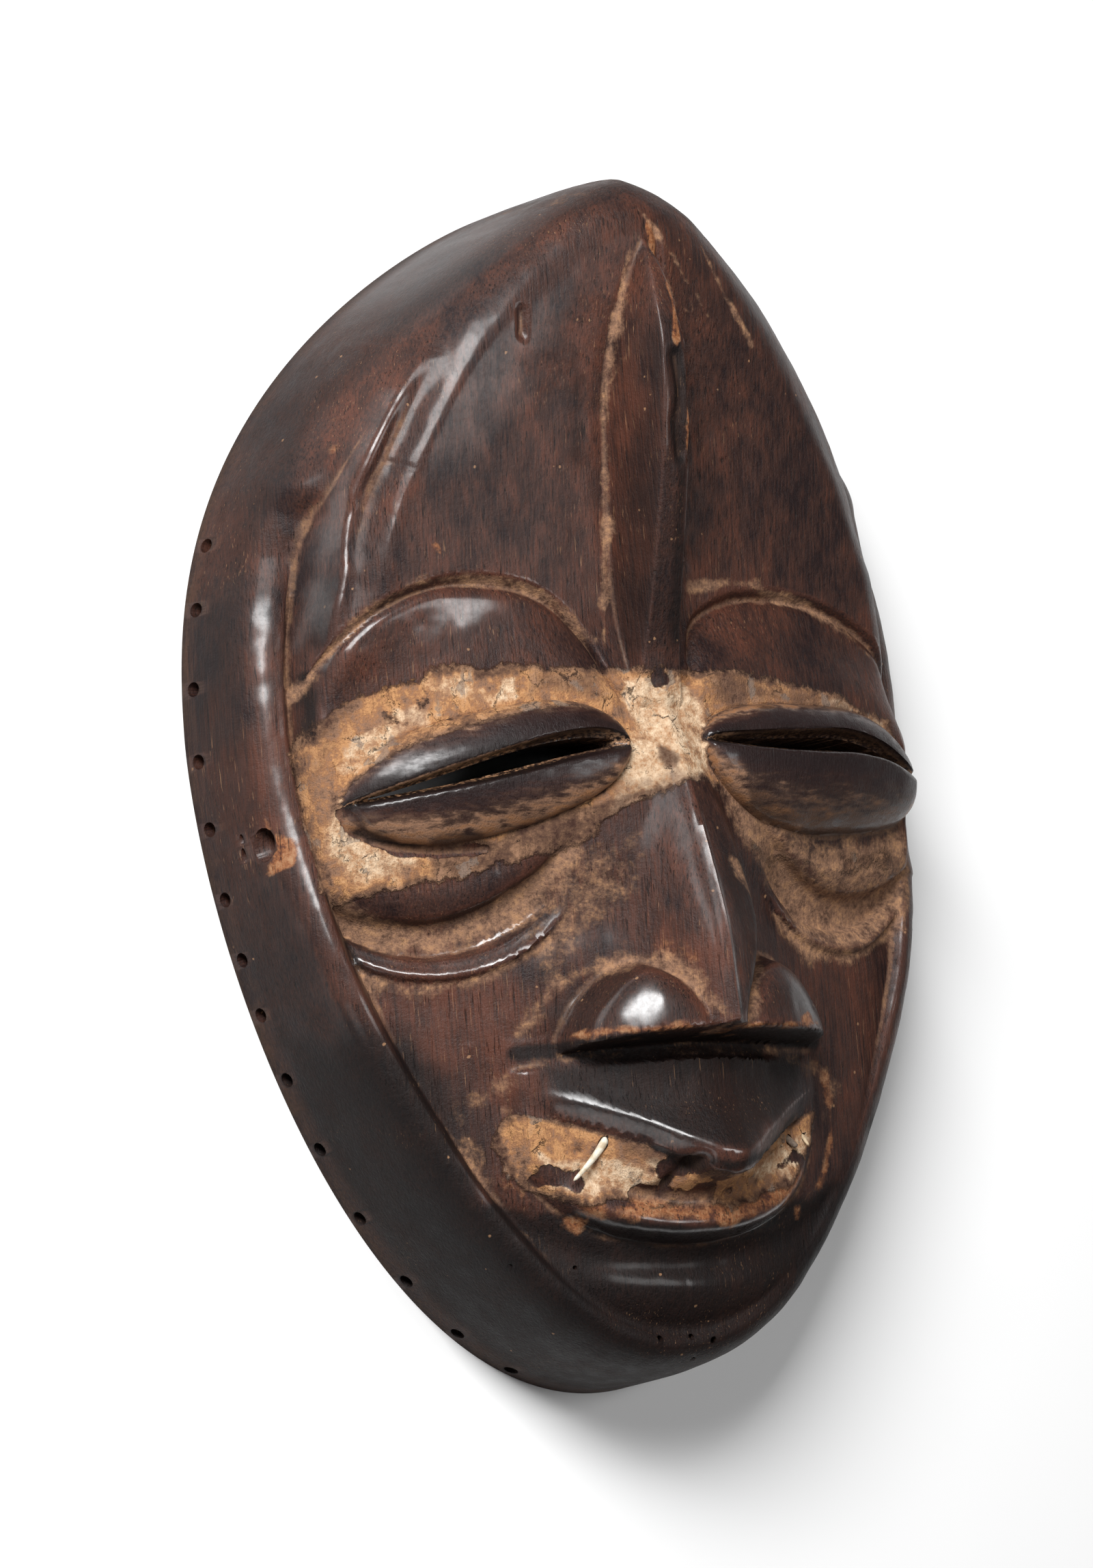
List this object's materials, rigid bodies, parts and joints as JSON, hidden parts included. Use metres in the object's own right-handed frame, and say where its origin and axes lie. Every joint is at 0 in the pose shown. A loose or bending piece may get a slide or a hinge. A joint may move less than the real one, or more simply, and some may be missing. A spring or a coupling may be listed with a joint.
{
  "type": "guere mask",
  "caption": "Carved wooden face mask with a keeled forehead, slit eyes, broad nose and pointed lip, hollow behind, lying on its rim with the face up.",
  "frame": {"origin": "in the plane of the flat rim that the mask lies on, midway between its two ends and its two sides", "axes": "+X to the right of someone who looks at the face, +Y towards the top of the forehead, +Z straight out of the face"},
  "size_m": [0.1668, 0.243, 0.0639],
  "materials": {
    "patinated_wood": "dark brown-black hand-polished patina with a dry ochre and pale clay crust round the eyes and mouth",
    "white_tooth": "smooth, off-white",
    "tan_tooth": "dry, pale tan",
    "dull_tooth": "dry, dusty grey-brown"
  },
  "bodies": {
    "root": {"mask_body": "patinated_wood", "tooth_right": "white_tooth", "tooth_left": "tan_tooth", "tooth_left_stub": "dull_tooth"}
  },
  "joints": []
}
